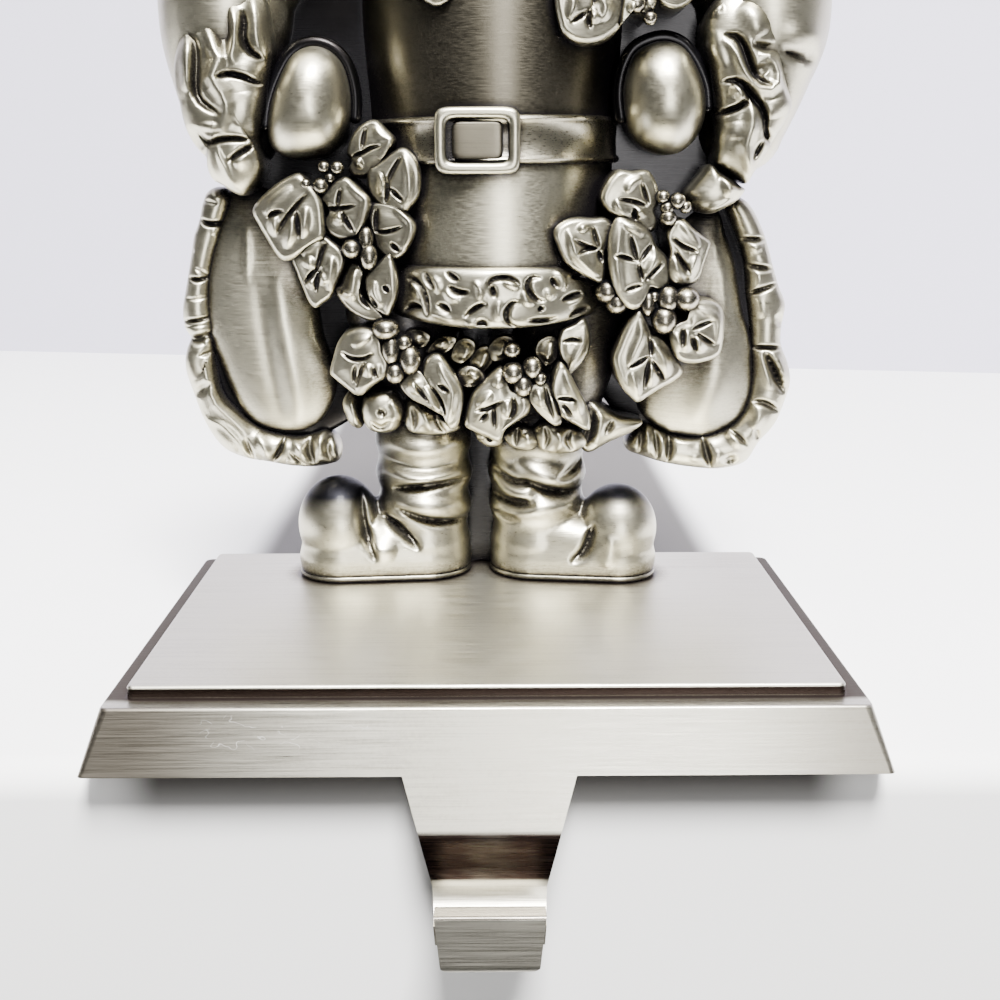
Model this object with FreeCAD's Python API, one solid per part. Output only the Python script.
"""Mantel stocking holder: a heavy cast plate with a hook, and a cast figure screwed on it.

The frame is in millimetres: +Z is up, the origin is the centre of the pad's underside, where
it rests on the mantel, and the hook hangs in front of the shelf, on the -Y side.
"""
import math
import os

import FreeCAD
import Part

# Base plate, cast in one with the hook
PLATE_WIDTH = 120.0
PLATE_DEPTH = 76.0
PLATE_CORNER = 1.2
PLATE_STEP = 2.4
LEDGE_WIDTH = 3.6
APRON_HEIGHT = 10.6
APRON_FLARE = 3.4
APRON_CORNER = 1.0
LEDGE_CORNER = 1.6
EDGE_ROUNDING = 0.6

# Soft pad under the plate
PAD_THICKNESS = 3.0
PAD_PROUD = 1.0
PAD_MARGIN = 6.0
PAD_CLEARANCE = 0.3
PAD_CORNER = 3.0

# Hook in front of the shelf
STRAP_THICKNESS = 3.5
STRAP_DROP = 25.0
STRAP_ROOT_WIDTH = 28.6
STRAP_LEAN_DROP = 9.0
STRAP_BEND = 8.0
STRAP_NECK_WIDTH = 18.9
STRAP_NECK_DROP = 17.4
HOOK_X = 0.3
HOOK_GAP = 10.0
HOOK_INNER_RADIUS = 4.6
HOOK_OUTER_RADIUS = 2.0
LIP_HEIGHT = 10.5
LIP_WIDTH = 17.4
LIP_FOOT_WIDTH = 15.6
LIP_FOOT_CUT = 1.4
LIP_ROUNDING = 0.6
STRAP_FLARE = 2.3
STRAP_FLARE_DROP = 8.7
STRAP_NARROWING = 0.5

# Figure, cast as one piece, on the back edge of the plate
FIGURE_BACK_MARGIN = 0.5
FIGURE_AXIS_X = 1.5
COAT_AXIS_DEPTH = 3.5
COAT_RADIUS = 25.0
HEM_ROLL = 1.6
HEM_LOW = 52.2
HEM_HIGH = 65.4
HEM_EDGE = 0.9
EDGE_SLOPE = 0.1
HEM_CURL_LENGTH = 3.0
HEM_CURL_RADIUS = 0.8
BELT_WIDTH = 8.2
BELT_THICKNESS = 1.2
BELT_HEIGHT = 88.5
BUCKLE_X = -1.4
BUCKLE_WIDTH = 15.6
BUCKLE_HEIGHT = 11.8
BUCKLE_FRAME = 2.6
BUCKLE_PROUD = 1.6
BUCKLE_BEVEL = 0.7
BUCKLE_ROOT = 4.0
BUCKLE_FLOOR = 0.2
TONGUE_PROUD = 1.0
TONGUE_GAP = 0.9
CLOAK_DEPTH = 12.0
CLOAK_STEPS = 2
PANEL_RISE = 3.6
TRIM_RADIUS = 4.2
TRIM_TAPER = 0.6
TRIM_SINK = 4.0
TRIM_LEAN = 3.0
LEAF_RELIEF = 2.6
BOOT_SOLE = 1.6
BOOT_BALL_EASE = 0.3
BOOT_INSTEP_EASE = 1.0
BOOT_INSTEP_TAPER = 0.6
BOOT_INSTEP_RISE = 3.0
BOOT_ROLL_LAP = 0.35
BOOT_ROLL_DIP = 1.5
BOOT_ROLL_SLOPE = 0.3

# Screws that hold the figure from under the plate
SCREW_DIAMETER = 4.0
SCREW_LENGTH = 16.0
SCREW_HEAD_DIAMETER = 7.0
SCREW_HEAD_HEIGHT = 2.6
SCREW_HOLE_CLEARANCE = 0.25
COUNTERBORE_CLEARANCE = 0.5
COUNTERBORE_FLOOR = 6.0
SCREW_HEAD_BEVEL = 0.5
SCREW_RECESS_LENGTH = 4.5
SCREW_RECESS_WIDTH = 1.8
SCREW_RECESS_DEPTH = 1.4
THREAD_CLEARANCE = 0.02
THREAD_RUN_OUT = 2.0

# How far a joined or cut block runs past the face that it meets
OVERRUN = 1.0
# How near an edge lies to the place where it is looked for
FIT_TOLERANCE = 0.001

# Heights and depths that follow from the sizes above
BASE_UNDERSIDE = PAD_PROUD
PAD_CEILING = PAD_THICKNESS
LEDGE_TOP = BASE_UNDERSIDE + APRON_HEIGHT
PLATE_TOP = LEDGE_TOP + PLATE_STEP
LEDGE_FRONT = PLATE_DEPTH / 2 + LEDGE_WIDTH
APRON_FRONT = LEDGE_FRONT + APRON_FLARE
FIGURE_BACK = PLATE_DEPTH / 2 - FIGURE_BACK_MARGIN

# Sculpted places are (x, forward of the flat back, above the plate), chosen by hand
# Boots: heel centre, toe centre, heel radius, toe radius, height of the toe's crown
BOOTS = [
    ((-13.2, 10.4), (-31.2, 13.3), 10.2, 8.9, 20.8),
    ((10.7, 10.5), (27.6, 14.2), 10.3, 8.6, 19.0),
]
# Folds of the shaft: low and high edge, radius beyond the heel's
BOOT_ROLLS = [(2.0, 13.0, 0.0), (13.0, 20.0, -0.5), (20.0, 27.0, -0.3), (27.0, 33.0, 0.2)]

# Leaves: stem x and height, tip x and height, width, forward place of the rim
LEAVES = [
    (-26.7, 83.6, -18.0, 88.8, 9.4, 24.0), (-19.8, 77.0, -15.2, 86.6, 9.0, 25.6),
    (-31.0, 75.8, -22.0, 77.0, 10.2, 24.6), (-21.8, 71.0, -13.4, 73.4, 9.2, 25.6),
    (-33.3, 79.6, -40.6, 69.0, 12.3, 22.4), (-30.5, 70.2, -32.4, 58.2, 8.9, 21.6),
    (-25.9, 65.6, -21.5, 55.6, 8.0, 22.6), (-20.8, 67.0, -19.2, 56.0, 6.2, 23.8),
    (32.4, 77.3, 22.2, 78.0, 9.5, 24.0), (23.4, 67.6, 13.6, 70.6, 10.6, 25.8),
    (29.1, 60.2, 26.0, 73.6, 9.9, 25.4), (35.8, 73.6, 39.2, 62.2, 6.8, 22.6),
    (28.4, 59.4, 21.0, 60.8, 5.6, 22.8), (32.6, 56.0, 31.0, 39.8, 11.5, 22.0),
    (36.4, 56.6, 45.4, 48.0, 10.0, 21.0),
    (-20.5, 49.4, -29.0, 42.2, 9.5, 22.8), (-16.2, 46.0, -10.8, 34.2, 6.0, 24.4),
    (-9.8, 47.0, -6.4, 33.6, 7.0, 24.6), (-15.0, 49.0, -9.0, 51.6, 4.0, 20.0),
    (-1.2, 46.6, -6.6, 51.0, 5.0, 20.4), (1.4, 45.6, -6.0, 43.0, 4.5, 21.4),
    (-17.0, 51.0, -21.4, 54.8, 4.2, 21.8),
    (4.2, 43.6, -1.8, 33.0, 7.0, 24.4), (6.6, 42.6, 4.0, 31.4, 6.5, 25.0),
    (8.0, 44.4, 13.4, 34.6, 7.0, 25.0), (14.0, 47.4, 17.4, 34.0, 6.5, 24.0),
    (6.4, 47.0, 1.2, 50.2, 4.5, 20.4), (16.0, 45.4, 18.8, 54.0, 5.0, 21.4),
    (24.6, 117.6, 17.4, 105.8, 10.8, 27.4), (27.0, 118.6, 35.6, 110.4, 9.0, 25.4),
    (26.0, 121.0, 20.6, 131.0, 9.0, 27.0),
]

# Berries: x, height, radius, forward place of the centre
BERRIES = [
    (-30.9, 83.1, 1.1, 23.2), (-28.2, 83.1, 1.3, 23.6), (-30.9, 80.2, 1.4, 23.8), (-34.0, 81.4, 1.0, 22.0),
    (-23.1, 70.2, 1.3, 25.0), (-25.6, 68.3, 1.4, 24.8), (-22.8, 66.8, 1.4, 25.0),
    (34.1, 77.9, 1.5, 24.0), (36.9, 77.4, 1.6, 23.6), (34.7, 75.0, 1.5, 24.2),
    (31.0, 57.4, 1.6, 23.4), (34.8, 59.2, 1.9, 23.4), (38.6, 59.0, 1.8, 22.8), (34.7, 55.1, 2.0, 23.4),
    (-18.4, 49.4, 1.6, 24.4), (-15.1, 47.1, 1.7, 24.8), (-17.9, 44.3, 1.5, 24.4),
    (5.6, 44.6, 1.4, 25.2), (8.9, 45.3, 1.3, 25.2), (7.4, 41.8, 1.5, 25.6),
    (27.2, 116.0, 1.6, 27.4), (29.4, 118.6, 1.5, 26.8), (26.2, 118.8, 1.5, 27.6),
]

# Rolls of fur and cloth: two ends as (x, forward, height) and their two radii
MITTENS = [
    ((-33.2, 24.0, 92.6), 7.8, (-30.8, 24.0, 101.8), 5.6),
    ((33.4, 24.0, 93.2), 6.9, (33.4, 24.0, 99.9), 6.4),
]
WRISTS = [
    ((-32.4, 8.0, 97.0), 6.2, (-32.4, 20.0, 97.0), 5.6), ((33.4, 8.0, 96.6), 6.0, (33.4, 20.0, 96.6), 5.4),
]
LEFT_CUFF = [
    ((-55.6, 18.0, 105.0), 3.2, (-54.6, 18.0, 92.0), 3.4),
    ((-54.2, 20.5, 109.0), 2.6, (-49.6, 22.0, 101.6), 3.0),
    ((-47.6, 21.0, 113.0), 2.6, (-45.4, 23.0, 103.0), 2.8),
    ((-44.0, 21.0, 114.0), 2.4, (-41.6, 22.0, 102.4), 2.6),
    ((-46.8, 21.5, 96.6), 5.4, (-45.4, 21.5, 91.6), 5.4),
    ((-51.8, 20.5, 104.0), 2.8, (-51.0, 21.0, 95.0), 3.0),
    ((-51.6, 19.5, 90.8), 3.4, (-51.0, 19.5, 87.6), 3.6),
    ((-49.4, 19.5, 84.6), 4.2, (-47.2, 20.0, 82.6), 4.4),
]
RIGHT_CUFF = [
    ((60.0, 15.0, 113.0), 6.0, (57.0, 16.5, 107.0), 6.0),
    ((50.6, 20.0, 110.0), 4.6, (46.4, 21.0, 113.0), 4.2),
    ((44.4, 21.5, 106.6), 2.6, (48.6, 22.5, 100.6), 2.8),
    ((50.4, 21.5, 99.6), 2.8, (53.2, 20.0, 98.6), 2.8),
    ((54.0, 18.0, 102.0), 4.0, (52.8, 18.0, 90.6), 4.2),
    ((45.6, 21.0, 97.0), 2.8, (45.0, 21.0, 94.0), 2.8),
    ((47.6, 20.5, 93.6), 3.4, (47.4, 20.5, 84.6), 3.6),
    ((41.6, 20.5, 80.8), 4.0, (46.6, 19.5, 79.6), 4.6),
]
SLEEVES = [
    ((-31.0, 11.0, 139.0), 14.6, (-49.6, 11.0, 118.0), 14.0),
    ((-50.6, 10.5, 114.0), 14.3, (-47.8, 11.0, 91.0), 9.4),
    ((34.0, 11.0, 139.0), 14.6, (53.6, 11.0, 118.0), 14.0),
    ((54.6, 10.5, 114.0), 14.3, (50.4, 11.0, 90.0), 9.6),
]
LEG_ROLLS = [
    ((-27.0, 17.0, 38.6), 2.8, (-26.2, 17.0, 33.8), 2.8),
    ((-20.6, 19.4, 38.0), 4.8, (-20.6, 20.0, 37.0), 4.9),
    ((-12.4, 18.4, 35.6), 4.2, (-6.4, 18.4, 35.6), 4.2), ((0.6, 18.0, 34.4), 3.6, (5.6, 18.4, 33.4), 3.8),
    ((8.6, 18.6, 33.4), 4.0, (15.8, 18.6, 33.0), 4.0), ((17.6, 17.6, 36.8), 3.2, (18.0, 17.6, 31.6), 3.4),
]
TROUSERS = [
    ((-17.0, 9.5, 56.0), 12.0, (-13.5, 10.6, 33.0), 10.0),
    ((18.4, 9.5, 56.0), 12.0, (12.0, 10.6, 32.0), 10.4),
]

# Cape: outer edge of its gathered trim and inner edge, as (x, height), from the top down
CAPE_SIDES = [
    [((-54.6, 78.6), (-49.4, 78.0)), ((-57.6, 73.0), (-51.6, 71.6)), ((-60.4, 67.2), (-53.4, 65.6)),
     ((-62.2, 61.2), (-54.8, 59.8)), ((-63.6, 54.8), (-55.2, 54.4)), ((-63.8, 49.0), (-55.4, 48.8)),
     ((-63.8, 43.0), (-54.6, 43.8)), ((-62.4, 36.6), (-53.2, 39.0)), ((-59.4, 30.6), (-50.8, 34.6)),
     ((-54.6, 25.4), (-47.6, 31.2)), ((-48.4, 22.2), (-43.6, 29.4)), ((-42.0, 21.4), (-39.2, 29.2)),
     ((-36.0, 23.0), (-35.2, 30.4)), ((-30.4, 25.6), (-31.4, 32.6))],
    [((51.6, 75.6), (46.6, 74.6)), ((55.8, 70.2), (49.8, 68.2)), ((59.4, 64.4), (52.2, 62.4)),
     ((62.2, 58.4), (54.0, 56.6)), ((64.2, 52.0), (55.2, 50.8)), ((65.4, 45.6), (55.8, 45.0)),
     ((65.4, 39.0), (55.4, 39.4)), ((63.8, 32.6), (54.0, 34.6)), ((60.4, 26.8), (51.0, 31.0)),
     ((55.2, 22.6), (47.0, 29.2)), ((48.6, 20.4), (42.6, 29.2)), ((41.8, 21.2), (38.4, 30.0)),
     ((35.6, 23.6), (34.6, 31.8)), ((30.2, 26.0), (31.0, 34.0))],
]
PANELS = [
    [(-46.0, 78.0), (-52.2, 62.0), (-53.8, 50.0), (-51.6, 40.0), (-45.6, 32.6), (-38.6, 30.6),
     (-33.0, 33.6), (-31.6, 44.0), (-35.6, 58.0), (-41.0, 72.0)],
    [(44.0, 76.0), (50.6, 60.0), (54.0, 46.0), (52.6, 36.6), (46.6, 31.0), (39.6, 31.2),
     (33.6, 35.4), (31.8, 46.0), (34.6, 58.0), (39.6, 70.0)],
]
CLOAK = [
    (-50.0, 82.0), (-57.0, 62.0), (-58.0, 42.0), (-50.0, 30.0), (-38.0, 28.0), (-26.0, 33.0), (-22.0, 40.0),
    (-4.0, 42.0), (4.0, 42.0), (22.0, 39.0), (28.0, 32.0), (42.0, 27.0), (53.0, 30.0), (59.6, 44.0),
    (57.0, 60.0), (50.0, 80.0), (58.0, 104.0), (58.0, 124.0), (44.0, 146.0), (24.0, 155.0), (-21.0, 155.0),
    (-41.0, 146.0), (-54.0, 124.0), (-54.0, 104.0),
]

# Head under its hood, with a beard down to the chest
HEAD = ((FIGURE_AXIS_X, 17.0, 160.0), 14.0, (FIGURE_AXIS_X, 17.0, 166.0), 13.0)
HOOD = [
    ((FIGURE_AXIS_X, 12.0, 157.0), 21.0, (FIGURE_AXIS_X, 11.0, 169.0), 16.2),
    ((FIGURE_AXIS_X, 9.0, 143.0), 25.0, (FIGURE_AXIS_X, 11.4, 155.0), 20.4),
]
HOOD_TRIM_CENTRE = (FIGURE_AXIS_X, 24.0, 163.0)
HOOD_TRIM_HALF_WIDTH = 14.4
HOOD_TRIM_HALF_HEIGHT = 16.4
HOOD_TRIM_RADIUS = 4.2
HOOD_TRIM_COUNT = 13
HOOD_TRIM_SWEEP = 286.0
NOSE = ((FIGURE_AXIS_X, 30.4, 164.0), 1.4, (FIGURE_AXIS_X, 31.8, 160.8), 2.2)
EYES = [(-3.9, 166.2), (6.9, 166.2)]
EYE_RADIUS = 1.9
EYE_FORWARD = 28.4
BROWS = [
    ((-6.6, 28.0, 169.4), 1.1, (-2.0, 29.2, 169.8), 1.3),
    ((9.6, 28.0, 169.4), 1.1, (5.0, 29.2, 169.8), 1.3),
]
MOUSTACHE = [
    ((0.2, 31.0, 156.6), 2.7, (-8.4, 28.0, 152.6), 1.6),
    ((2.8, 31.0, 156.6), 2.7, (11.4, 28.0, 152.6), 1.6),
]
BEARD = [
    ((FIGURE_AXIS_X, 19.0, 147.0), 14.0, (-0.4, 23.0, 126.0), 7.6),
    ((-9.6, 25.0, 152.6), 4.0, (-14.4, 23.6, 132.0), 3.2),
    ((-5.8, 27.2, 150.0), 4.8, (-9.8, 26.6, 124.0), 3.4),
    ((-1.6, 28.2, 148.4), 5.0, (-8.8, 28.4, 112.0), 2.8),
    ((2.8, 28.6, 148.0), 5.0, (-0.6, 28.6, 119.6), 3.6),
    ((7.2, 28.0, 148.6), 4.9, (7.0, 28.0, 121.6), 3.4),
    ((11.0, 26.4, 150.6), 4.4, (13.4, 25.8, 127.0), 3.3),
    ((13.4, 24.0, 153.4), 3.8, (17.8, 22.8, 134.4), 3.0),
]

# Coat: radius beyond the coat's own, with the height below the hem and the rise above the belt's middle
SKIRT = [(-6.0, 44.0), (-3.0, 52.0)]
SHOULDERS = [(0.2, 4.5), (1.5, 23.5), (0.5, 41.5), (-5.0, 53.5)]

# Curls pressed into the fur hem: x, height and turn in degrees
HEM_CURLS = [
    (-13.5, 61.0, -58), (-9.0, 62.4, -35), (-5.6, 60.6, -20), (-10.4, 56.6, -8), (-3.2, 57.4, 12),
    (0.4, 61.6, 28), (3.4, 61.2, -40), (8.6, 61.0, 70), (13.6, 62.0, 62), (5.6, 56.4, 76),
    (10.4, 58.4, 50), (16.8, 58.4, 24), (12.0, 55.2, 6), (18.2, 62.4, 16),
]

# Domed panel: share of its outline, and depth beyond the cloak's, ring by ring
PANEL_RINGS = [(1.0, -6.0), (1.0, -2.0), (0.9, PANEL_RISE - 1.4), (0.7, PANEL_RISE)]

# Facets: sides round a roll and the latitudes of the rings on its ends, for thin and thick rolls
THICK_FROM = 6.0
THIN_ROLL = (8, [48.0])
THICK_ROLL = (12, [58.0, 22.0])
BERRY_SIDES = 6
COAT_SIDES = 28
SOLE_STEPS = 7

# A berry's profile: share of its radius, and place beyond its centre in radii
BERRY_PROFILE = [(0.96, -0.3), (0.86, 0.5), (0.3, 1.0)]
BERRY_STUB = 0.8
BERRY_ROOT = 12.0

# A leaf's outline and crest in shares of its length and width, the crest with its share of the relief
LEAF_OUTLINE = [(0.0, 0.0), (0.14, 0.34), (0.46, 0.5), (0.78, 0.4), (1.0, 0.0)]
LEAF_CREST = [
    (0.12, 0.0, 0.5), (0.22, 0.27, 1.0), (0.47, 0.36, 0.55), (0.72, 0.28, 1.0), (0.86, 0.0, 0.6),
    (0.72, -0.28, 1.0), (0.47, -0.36, 0.55), (0.22, -0.27, 1.0),
]
LEAF_RIB = [(0.3, 0.0, 0.3), (0.62, 0.0, 0.3)]
LEAF_ROOT = 8.0

# A boot's toe: share of the ball's radius, and drop from its crown in radii
TOE_PROFILE = [(1.0, 1.0), (0.9, 0.56), (0.6, 0.2), (0.2, 0.0)]

# A fur roll of the hood leans outwards and back from the ring
HOOD_TRIM_SPREAD = 1.12
HOOD_TRIM_SET_BACK = 6.0
HOOD_TRIM_TAPER = 0.2


def vec(x, y, z):
    """A point or direction."""
    return FreeCAD.Vector(x, y, z)


def at(x, forward, height):
    """A sculpted place on the figure, in the part's frame."""
    return vec(x, FIGURE_BACK - forward, PLATE_TOP + height)


def fuse(solids):
    """All solids as one."""
    return solids[0].multiFuse(solids[1:])


def closed_wire(points):
    """Straight edges round the points."""
    return Part.makePolygon(points + [points[0]])


def prism(points, direction):
    """A flat outline carried along a direction."""
    return Part.Face(closed_wire(points)).extrude(direction)


def rounded_rectangle(width, depth, radius, z):
    """A closed wire, level at height z and centred on the origin."""
    x, y = width / 2, depth / 2
    inner_x, inner_y = x - radius, y - radius
    corners = [
        (inner_x, inner_y, 0), (-inner_x, inner_y, 90), (-inner_x, -inner_y, 180), (inner_x, -inner_y, 270),
    ]
    edges = []
    ends = []
    for corner_x, corner_y, start in corners:
        circle = Part.Circle(vec(corner_x, corner_y, z), vec(0, 0, 1), radius)
        arc = Part.Arc(circle, math.radians(start), math.radians(start + 90)).toShape()
        ends.append((arc.valueAt(arc.FirstParameter), arc.valueAt(arc.LastParameter)))
        edges.append(arc)
    for index in range(4):
        edges.append(Part.LineSegment(ends[index][1], ends[(index + 1) % 4][0]).toShape())
    return Part.Wire(Part.__sortEdges__(edges))


def block(wire, height):
    """A level outline carried upwards."""
    return Part.Face(wire).extrude(vec(0, 0, height))


def faceted(facets):
    """A solid closed by flat facets, each a list of corners."""
    solid = Part.makeSolid(Part.makeShell([Part.Face(closed_wire(facet)) for facet in facets]))
    if solid.Volume < 0:
        solid.reverse()
    return solid


def walls(rings):
    """Facets between rings of corners that follow each other, and the two flat ends."""
    facets = [rings[0][::-1], rings[-1]]
    count = len(rings[0])
    for low, high in zip(rings, rings[1:]):
        for index in range(count):
            after = (index + 1) % count
            facets.append([low[index], low[after], high[after], high[index]])
    return facets


def turned(profile, sides, start, axis):
    """A turned form with flat sides, from (radius, place along the axis) pairs."""
    turn = FreeCAD.Rotation(vec(0, 0, 1), axis)
    rings = []
    for radius, along in profile:
        ring = []
        for index in range(sides):
            angle = 2 * math.pi * (index + 0.5) / sides
            corner = vec(radius * math.cos(angle), radius * math.sin(angle), along)
            ring.append(start + turn.multVec(corner))
        rings.append(ring)
    return faceted(walls(rings))


def roll(start, start_radius, end, end_radius):
    """A round-ended taper: two faceted balls and the cone that touches both."""
    sides, latitudes = THICK_ROLL if start_radius >= THICK_FROM else THIN_ROLL
    axis = end - start
    length = axis.Length
    lean = math.asin((start_radius - end_radius) / length)
    near = [math.radians(-degrees) for degrees in latitudes] + [lean]
    far = [lean] + [math.radians(degrees) for degrees in reversed(latitudes)]
    profile = [(start_radius * math.cos(angle), start_radius * math.sin(angle)) for angle in near]
    profile += [(end_radius * math.cos(angle), length + end_radius * math.sin(angle)) for angle in far]
    return turned(profile, sides, start, axis)


def sculpted_roll(row):
    """A roll given by two sculpted places and two radii."""
    start, start_radius, end, end_radius = row
    return roll(at(*start), start_radius, at(*end), end_radius)


def leaf(stem_x, stem_height, tip_x, tip_height, width, rim):
    """A puffed leaf: upright sides, a bevelled rim, and lobes that fall to a midrib and two veins."""
    along_x, along_z = tip_x - stem_x, tip_height - stem_height
    length = math.hypot(along_x, along_z)
    across_x, across_z = -along_z / length, along_x / length

    def place(along, across, forward):
        x = stem_x + along_x * along + across_x * width * across
        height = stem_height + along_z * along + across_z * width * across
        return at(x, forward, height)

    right = LEAF_OUTLINE
    left = [(along, -across) for along, across in reversed(LEAF_OUTLINE[1:-1])]
    outline = right + left
    count = len(outline)
    back = [place(along, across, LEAF_ROOT) for along, across in outline]
    edge = [place(along, across, rim) for along, across in outline]
    crest = [place(along, across, rim + LEAF_RELIEF * rise) for along, across, rise in LEAF_CREST]
    rib_low, rib_high = [place(along, across, rim + LEAF_RELIEF * rise) for along, across, rise in LEAF_RIB]
    facets = [back[::-1]]
    for index in range(count):
        after = (index + 1) % count
        facets.append([back[index], back[after], edge[after], edge[index]])
        facets.append([edge[index], edge[after], crest[index]])
        facets.append([edge[after], crest[after], crest[index]])
    facets += [[crest[0], crest[1], rib_low], [crest[1], crest[2], rib_low], [crest[2], rib_high, rib_low],
               [crest[2], crest[3], rib_high], [crest[3], crest[4], rib_high], [crest[4], crest[5], rib_high],
               [crest[5], crest[6], rib_high], [crest[6], rib_low, rib_high], [crest[6], crest[7], rib_low],
               [crest[7], crest[0], rib_low]]
    return faceted(facets)


def berry(x, height, radius, forward):
    """A round berry on a stub that joins it to what lies behind."""
    length = forward - BERRY_ROOT
    profile = [(radius * BERRY_STUB, 0)]
    profile += [(radius * share, length + radius * place) for share, place in BERRY_PROFILE]
    return turned(profile, BERRY_SIDES, at(x, BERRY_ROOT, height), vec(0, -1, 0))


def smooth_outline(points, steps):
    """A closed curve through the points, each stretch cut into equal steps of a cubic."""
    count = len(points)
    curve = []
    for index in range(count):
        before, low, high, after = (points[(index + shift) % count] for shift in (-1, 0, 1, 2))
        for step in range(steps):
            t = step / steps
            place = []
            for axis in (0, 1):
                slope_low, slope_high = (high[axis] - before[axis]) / 2, (after[axis] - low[axis]) / 2
                rise = high[axis] - low[axis]
                place.append(low[axis] + slope_low * t + (3 * rise - 2 * slope_low - slope_high) * t ** 2
                             + (slope_low + slope_high - 2 * rise) * t ** 3)
            curve.append(tuple(place))
    return curve


def cloak():
    """Flat-backed cloak behind the whole figure, with one smooth outline."""
    outline = [at(x, 0, height) for x, height in smooth_outline(CLOAK, CLOAK_STEPS)]
    return prism(outline, vec(0, -CLOAK_DEPTH, 0))


def coat():
    """Coat with its fur hem and belt, turned as one barrel."""
    hem = COAT_RADIUS + HEM_ROLL
    belt = COAT_RADIUS + BELT_THICKNESS
    belt_low, belt_high = BELT_HEIGHT - BELT_WIDTH / 2, BELT_HEIGHT + BELT_WIDTH / 2
    outline = [(COAT_RADIUS + swell, height) for swell, height in SKIRT]
    outline += [
        (hem - HEM_EDGE, HEM_LOW), (hem, HEM_LOW + HEM_EDGE), (hem, HEM_HIGH - HEM_EDGE),
        (hem - HEM_EDGE, HEM_HIGH), (COAT_RADIUS, HEM_HIGH + EDGE_SLOPE), (COAT_RADIUS, belt_low),
        (belt, belt_low + EDGE_SLOPE), (belt, belt_high - EDGE_SLOPE),
    ]
    outline += [(COAT_RADIUS + swell, BELT_HEIGHT + rise) for swell, rise in SHOULDERS]
    return turned(outline, COAT_SIDES, at(FIGURE_AXIS_X, COAT_AXIS_DEPTH, 0), vec(0, 0, 1))


def buckle():
    """Frame with a raised middle, let into the belt's front."""
    front = COAT_AXIS_DEPTH + COAT_RADIUS + BELT_THICKNESS
    root = front - BUCKLE_ROOT

    def plate(inset, low, high):
        width, height = BUCKLE_WIDTH - 2 * inset, BUCKLE_HEIGHT - 2 * inset
        corner = at(BUCKLE_X - width / 2, high, BELT_HEIGHT - height / 2)
        return Part.makeBox(width, high - low, height, corner)

    frame = plate(0, root, front + BUCKLE_PROUD)
    front_edges = [edge for edge in frame.Edges if edge.BoundBox.YMax < FIGURE_BACK - front]
    frame = frame.makeChamfer(BUCKLE_BEVEL, front_edges)
    hole = plate(BUCKLE_FRAME, front - BUCKLE_FLOOR, front + BUCKLE_PROUD + OVERRUN)
    tongue = plate(BUCKLE_FRAME + TONGUE_GAP, root, front + TONGUE_PROUD)
    return frame.cut(hole).fuse(tongue)


def hem_dents():
    """Short curls pressed into the fur hem, as cutters."""
    reach = COAT_RADIUS + HEM_ROLL
    cutters = []
    for x, height, degrees in HEM_CURLS:
        angle = math.radians(degrees)
        half_x, half_z = HEM_CURL_LENGTH / 2 * math.cos(angle), HEM_CURL_LENGTH / 2 * math.sin(angle)
        forward = COAT_AXIS_DEPTH + math.sqrt(reach ** 2 - (x - FIGURE_AXIS_X) ** 2)
        low, high = at(x - half_x, forward, height - half_z), at(x + half_x, forward, height + half_z)
        cutters.append(roll(low, HEM_CURL_RADIUS, high, HEM_CURL_RADIUS))
    return cutters


def panel(outline):
    """A smooth domed panel of the cape, standing forward of the cloak."""
    middle_x = sum(x for x, _ in outline) / len(outline)
    middle_z = sum(height for _, height in outline) / len(outline)
    rings = []
    for share, rise in PANEL_RINGS:
        ring = []
        for x, height in outline:
            ring_x, ring_height = middle_x + (x - middle_x) * share, middle_z + (height - middle_z) * share
            ring.append(at(ring_x, CLOAK_DEPTH + rise, ring_height))
        rings.append(ring)
    return faceted(walls(rings))


def trim(side):
    """Gathered fur edge: one roll for each gather, from the inner edge to the outer one."""
    rolls = []
    for outer, inner in side:
        reach = math.hypot(outer[0] - inner[0], outer[1] - inner[1])
        outer_radius = TRIM_RADIUS - TRIM_TAPER
        pull = outer_radius / reach
        end_x = outer[0] + (inner[0] - outer[0]) * pull
        end_z = outer[1] + (inner[1] - outer[1]) * pull
        forward = CLOAK_DEPTH - TRIM_SINK
        rolls.append(roll(at(inner[0], forward, inner[1]), TRIM_RADIUS,
                          at(end_x, forward - TRIM_LEAN, end_z), outer_radius))
    return rolls


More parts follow.
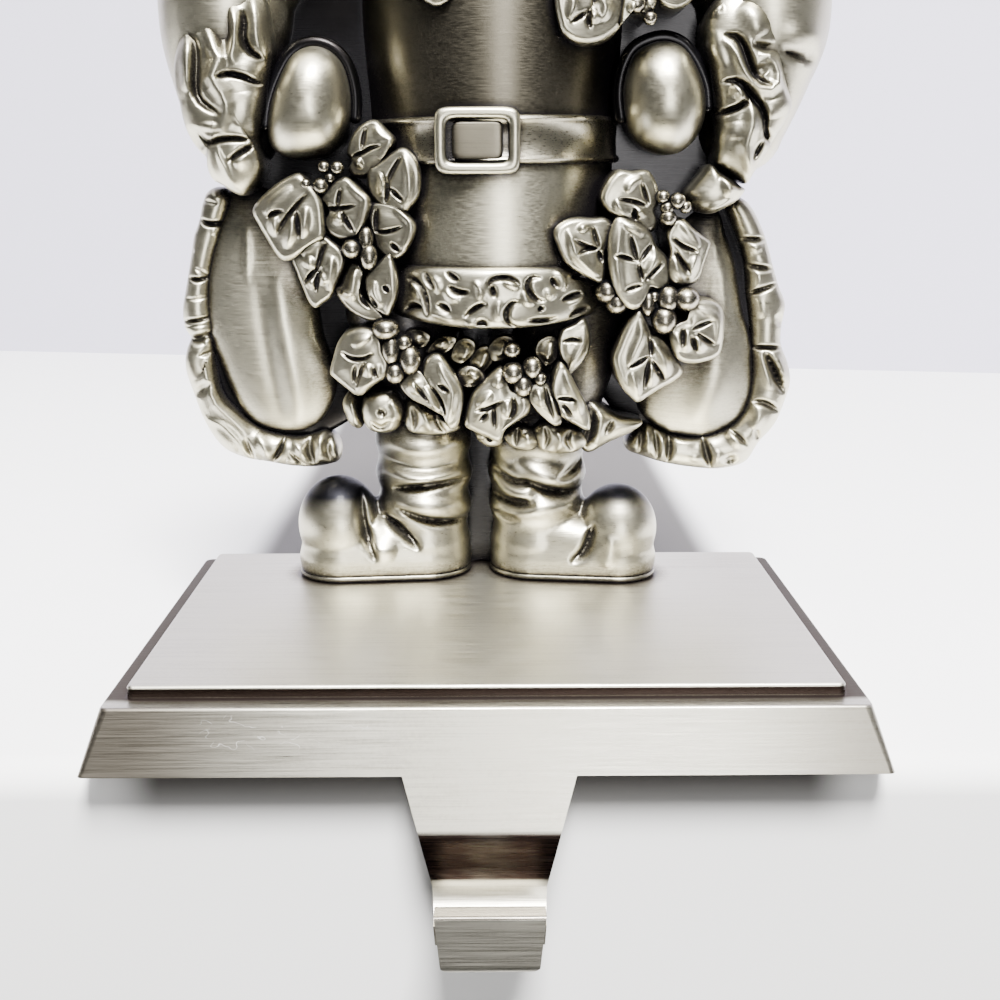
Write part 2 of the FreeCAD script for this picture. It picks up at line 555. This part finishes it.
def boot(heel, toe, heel_radius, toe_radius, crown):
    """A boot turned outwards: sole, instep, round toe and a slack shaft of soft rolls."""
    heel_low = at(heel[0], heel[1], 0)
    toe_low = at(toe[0], toe[1], 0)
    along = (toe_low - heel_low).normalize()
    side = vec(-along.y, along.x, 0)
    outline = []
    for centre, radius, first in ((toe_low, toe_radius, -90), (heel_low, heel_radius, 90)):
        for step in range(SOLE_STEPS + 1):
            angle = math.radians(first + 180 * step / SOLE_STEPS)
            outline.append(centre + along * (radius * math.cos(angle)) + side * (radius * math.sin(angle)))
    sole = prism(outline, vec(0, 0, BOOT_SOLE))
    up = vec(0, 0, 1)
    ball = toe_radius - BOOT_BALL_EASE
    instep = heel_radius - BOOT_INSTEP_EASE
    sides = THICK_ROLL[0]
    toe_profile = [(ball, BOOT_SOLE / 2)]
    toe_profile += [(ball * share, crown - ball * drop) for share, drop in TOE_PROFILE]
    pieces = [
        sole,
        turned(toe_profile, sides, toe_low, up),
        roll(toe_low + vec(0, 0, instep), instep - BOOT_INSTEP_TAPER,
             heel_low + vec(0, 0, instep + BOOT_INSTEP_RISE), instep),
    ]
    for low, high, swell in BOOT_ROLLS:
        radius = heel_radius + swell
        edge = radius - BOOT_ROLL_DIP
        low_lap, high_lap = low - BOOT_ROLL_LAP, high + BOOT_ROLL_LAP
        slope = (high_lap - low_lap) * BOOT_ROLL_SLOPE
        profile = [(edge, low_lap), (radius, low_lap + slope), (radius, high_lap - slope), (edge, high_lap)]
        pieces.append(turned(profile, sides, heel_low, up))
    return pieces


def hood_trim():
    """Fur round the face: a ring of short rolls, open under the beard."""
    pieces = []
    centre_x, forward, centre_z = HOOD_TRIM_CENTRE
    step = HOOD_TRIM_SWEEP / (HOOD_TRIM_COUNT - 1)
    for index in range(HOOD_TRIM_COUNT):
        angle = math.radians(90 - HOOD_TRIM_SWEEP / 2 + step * index)
        x = centre_x + HOOD_TRIM_HALF_WIDTH * math.cos(angle)
        z = centre_z + HOOD_TRIM_HALF_HEIGHT * math.sin(angle)
        out_x = centre_x + (x - centre_x) * HOOD_TRIM_SPREAD
        out_z = centre_z + (z - centre_z) * HOOD_TRIM_SPREAD
        end = at(out_x, forward - HOOD_TRIM_SET_BACK, out_z)
        pieces.append(roll(at(x, forward, z), HOOD_TRIM_RADIUS, end, HOOD_TRIM_RADIUS - HOOD_TRIM_TAPER))
    return pieces


def screw_places():
    """Centre of each boot's heel, on the plate's top."""
    return [at(boot_row[0][0], boot_row[0][1], 0) for boot_row in BOOTS]


def figure_casting():
    """The whole figure as one casting with a flat back."""
    pieces = [cloak(), coat(), buckle()]
    limbs = MITTENS + WRISTS + LEFT_CUFF + RIGHT_CUFF + SLEEVES + LEG_ROLLS + TROUSERS
    head = HOOD + [HEAD, NOSE] + BROWS + MOUSTACHE + BEARD
    pieces += [sculpted_roll(row) for row in limbs + head]
    pieces += [leaf(*row) for row in LEAVES]
    pieces += [berry(*row) for row in BERRIES]
    pieces += [berry(x, height, EYE_RADIUS, EYE_FORWARD) for x, height in EYES]
    pieces += [panel(outline) for outline in PANELS]
    for side in CAPE_SIDES:
        pieces += trim(side)
    for row in BOOTS:
        pieces += boot(*row)
    pieces += hood_trim()
    figure = fuse(pieces)
    figure = figure.cut(hem_dents())
    reach = 2 * PLATE_WIDTH
    behind = Part.makeBox(reach, reach, 2 * reach, vec(-reach / 2, FIGURE_BACK, -reach / 2))
    holes = []
    for place in screw_places():
        depth = SCREW_LENGTH - (PLATE_TOP - BASE_UNDERSIDE - COUNTERBORE_FLOOR) + THREAD_RUN_OUT
        holes.append(Part.makeCylinder(SCREW_DIAMETER / 2 + THREAD_CLEARANCE, depth, place))
    return figure.cut([behind] + holes)


def base_casting():
    """Stepped plate with a flared apron, and the hook that hangs from its front edge."""
    ledge_width = PLATE_WIDTH + 2 * LEDGE_WIDTH
    ledge_depth = 2 * LEDGE_FRONT
    low = rounded_rectangle(ledge_width + 2 * APRON_FLARE, 2 * APRON_FRONT, APRON_CORNER, BASE_UNDERSIDE)
    high = rounded_rectangle(ledge_width, ledge_depth, LEDGE_CORNER, LEDGE_TOP)
    apron = Part.makeLoft([low, high], True, True)
    plate_outline = rounded_rectangle(PLATE_WIDTH, PLATE_DEPTH, PLATE_CORNER, LEDGE_TOP - OVERRUN)
    plate = block(plate_outline, PLATE_STEP + OVERRUN)
    top_edges = [edge for edge in plate.Edges if edge.BoundBox.ZMin > PLATE_TOP - EDGE_ROUNDING]
    plate = plate.makeFillet(EDGE_ROUNDING, top_edges)
    ledge_edges = [edge for edge in apron.Edges if edge.BoundBox.ZMin > LEDGE_TOP - EDGE_ROUNDING]
    apron = apron.makeFillet(EDGE_ROUNDING, ledge_edges)
    solid = fuse([apron, plate, hook()])
    recess_width = 2 * (pad_half_width() + PAD_CLEARANCE)
    recess_depth = 2 * (pad_half_depth() + PAD_CLEARANCE)
    recess_corner = PAD_CORNER + PAD_CLEARANCE
    recess = rounded_rectangle(recess_width, recess_depth, recess_corner, BASE_UNDERSIDE - OVERRUN)
    cutters = [block(recess, PAD_CEILING - BASE_UNDERSIDE + OVERRUN)]
    bore = SCREW_HEAD_DIAMETER / 2 + COUNTERBORE_CLEARANCE
    for place in screw_places():
        low_point = vec(place.x, place.y, BASE_UNDERSIDE)
        cutters.append(Part.makeCylinder(bore, COUNTERBORE_FLOOR, low_point))
        cutters.append(Part.makeCylinder(SCREW_DIAMETER / 2 + SCREW_HOLE_CLEARANCE, PLATE_TOP, low_point))
    return solid.cut(cutters)


def hook():
    """J of flat strap: down from the apron in line with it, then upright, round the gap and up to a lip."""
    root_front = -APRON_FRONT
    front = root_front - STRAP_LEAN_DROP * APRON_FLARE / APRON_HEIGHT
    back = front + STRAP_THICKNESS
    bend = BASE_UNDERSIDE - STRAP_LEAN_DROP
    floor = -STRAP_DROP
    lip_back = front - HOOK_GAP
    lip_front = lip_back - STRAP_THICKNESS
    lip_top = floor + LIP_HEIGHT
    root = BASE_UNDERSIDE + STRAP_THICKNESS
    inner_floor = floor + STRAP_THICKNESS
    r_in, r_out = HOOK_INNER_RADIUS, HOOK_OUTER_RADIUS
    diagonal = 1 - math.sqrt(0.5)

    def point(y, z):
        return vec(0, y, z)

    def line(a, b):
        return Part.makeLine(point(*a), point(*b))

    def arc(a, middle, b):
        return Part.Arc(point(*a), point(*middle), point(*b)).toShape()

    edges = [
        line((root_front + STRAP_THICKNESS, root), (root_front + STRAP_THICKNESS, BASE_UNDERSIDE)),
        line((root_front + STRAP_THICKNESS, BASE_UNDERSIDE), (back, bend)),
        line((back, bend), (back, floor + r_out)),
        arc((back, floor + r_out), (back - r_out * diagonal, floor + r_out * diagonal),
            (back - r_out, floor)),
        line((back - r_out, floor), (lip_front + r_out, floor)),
        arc((lip_front + r_out, floor), (lip_front + r_out * diagonal, floor + r_out * diagonal),
            (lip_front, floor + r_out)),
        line((lip_front, floor + r_out), (lip_front, lip_top)),
        line((lip_front, lip_top), (lip_back, lip_top)),
        line((lip_back, lip_top), (lip_back, inner_floor + r_in)),
        arc((lip_back, inner_floor + r_in), (lip_back + r_in * diagonal, inner_floor + r_in * diagonal),
            (lip_back + r_in, inner_floor)),
        line((lip_back + r_in, inner_floor), (front - r_in, inner_floor)),
        arc((front - r_in, inner_floor), (front - r_in * diagonal, inner_floor + r_in * diagonal),
            (front, inner_floor + r_in)),
        line((front, inner_floor + r_in), (front, bend)),
        line((front, bend), (root_front, BASE_UNDERSIDE)),
        line((root_front, BASE_UNDERSIDE), (root_front + STRAP_THICKNESS / 2, root)),
        line((root_front + STRAP_THICKNESS / 2, root), (root_front + STRAP_THICKNESS, root)),
    ]
    strap = Part.Face(Part.Wire(edges)).extrude(vec(STRAP_ROOT_WIDTH, 0, 0))
    strap.translate(vec(-STRAP_ROOT_WIDTH / 2, 0, 0))
    strap = strap.makeFillet(STRAP_BEND, level_edges(strap, bend, front, back))
    neck = STRAP_NECK_WIDTH / 2
    drop_outline = [
        (STRAP_ROOT_WIDTH / 2, root), (STRAP_ROOT_WIDTH / 2, BASE_UNDERSIDE),
        (neck + STRAP_FLARE, BASE_UNDERSIDE - STRAP_FLARE_DROP), (neck, -STRAP_NECK_DROP),
        (neck - STRAP_NARROWING, floor),
    ]
    foot = LIP_FOOT_WIDTH / 2
    lip_outline = [(LIP_WIDTH / 2, lip_top), (foot, floor + LIP_FOOT_CUT), (foot - LIP_FOOT_CUT, floor)]
    middle = front - HOOK_GAP / 2
    strap_part = strap.common(face_prism(drop_outline, middle, root_front + STRAP_THICKNESS + OVERRUN))
    lip_part = strap.common(face_prism(lip_outline, lip_front - OVERRUN, middle))
    lip_part = lip_part.makeFillet(LIP_ROUNDING, level_edges(lip_part, lip_top, lip_front, lip_back))
    strap = strap_part.fuse(lip_part).removeSplitter()
    strap.translate(vec(HOOK_X, 0, 0))
    return strap


def level_edges(shape, z, *depths):
    """Edges that run across the hook at one height, at any of the given depths."""
    found = []
    for edge in shape.Edges:
        box = edge.BoundBox
        level = box.ZLength < FIT_TOLERANCE and abs(box.ZMin - z) < FIT_TOLERANCE
        across = box.YLength < FIT_TOLERANCE and any(abs(box.YMin - y) < FIT_TOLERANCE for y in depths)
        if level and across:
            found.append(edge)
    return found


def face_prism(right_side, low_y, high_y):
    """A front outline, mirrored to the left, carried from one depth to the other."""
    points = [vec(x, low_y, z) for x, z in right_side]
    points += [vec(-x, low_y, z) for x, z in reversed(right_side)]
    return prism(points, vec(0, high_y - low_y, 0))


def pad_half_width():
    """Half the pad's width, inside the apron's foot."""
    return PLATE_WIDTH / 2 + LEDGE_WIDTH + APRON_FLARE - PAD_MARGIN


def pad_half_depth():
    """Half the pad's depth, inside the apron's foot."""
    return APRON_FRONT - PAD_MARGIN


def base_pad():
    """Soft sheet in the recess, proud of the casting's underside."""
    outline = rounded_rectangle(2 * pad_half_width(), 2 * pad_half_depth(), PAD_CORNER, 0)
    return block(outline, PAD_THICKNESS)


def figure_screw(place):
    """Pan-head screw, its head up against the counterbore's floor."""
    seat = BASE_UNDERSIDE + COUNTERBORE_FLOOR
    low = seat - SCREW_HEAD_HEIGHT
    head = Part.makeCylinder(SCREW_HEAD_DIAMETER / 2, SCREW_HEAD_HEIGHT, vec(place.x, place.y, low))
    low_edges = [edge for edge in head.Edges if edge.BoundBox.ZMax < low + SCREW_HEAD_BEVEL]
    head = head.makeChamfer(SCREW_HEAD_BEVEL, low_edges)
    shank = Part.makeCylinder(SCREW_DIAMETER / 2, SCREW_LENGTH, vec(place.x, place.y, seat))
    screw = head.fuse(shank)
    half_long, half_short = SCREW_RECESS_LENGTH / 2, SCREW_RECESS_WIDTH / 2
    slots = []
    for half_x, half_y in ((half_long, half_short), (half_short, half_long)):
        slots.append(Part.makeBox(2 * half_x, 2 * half_y, SCREW_RECESS_DEPTH,
                                  vec(place.x - half_x, place.y - half_y, low)))
    return screw.cut(slots)


def export(name, shape):
    """Write one sub-part."""
    shape.exportStep(os.path.join("parts", name + ".step"))
    print(name, "solids", len(shape.Solids), "valid", shape.isValid(), "volume", round(shape.Volume, 1))


os.makedirs("parts", exist_ok=True)
export("base_casting", base_casting())
export("base_pad", base_pad())
export("figure_casting", figure_casting())
export("figure_screws", Part.makeCompound([figure_screw(place) for place in screw_places()]))
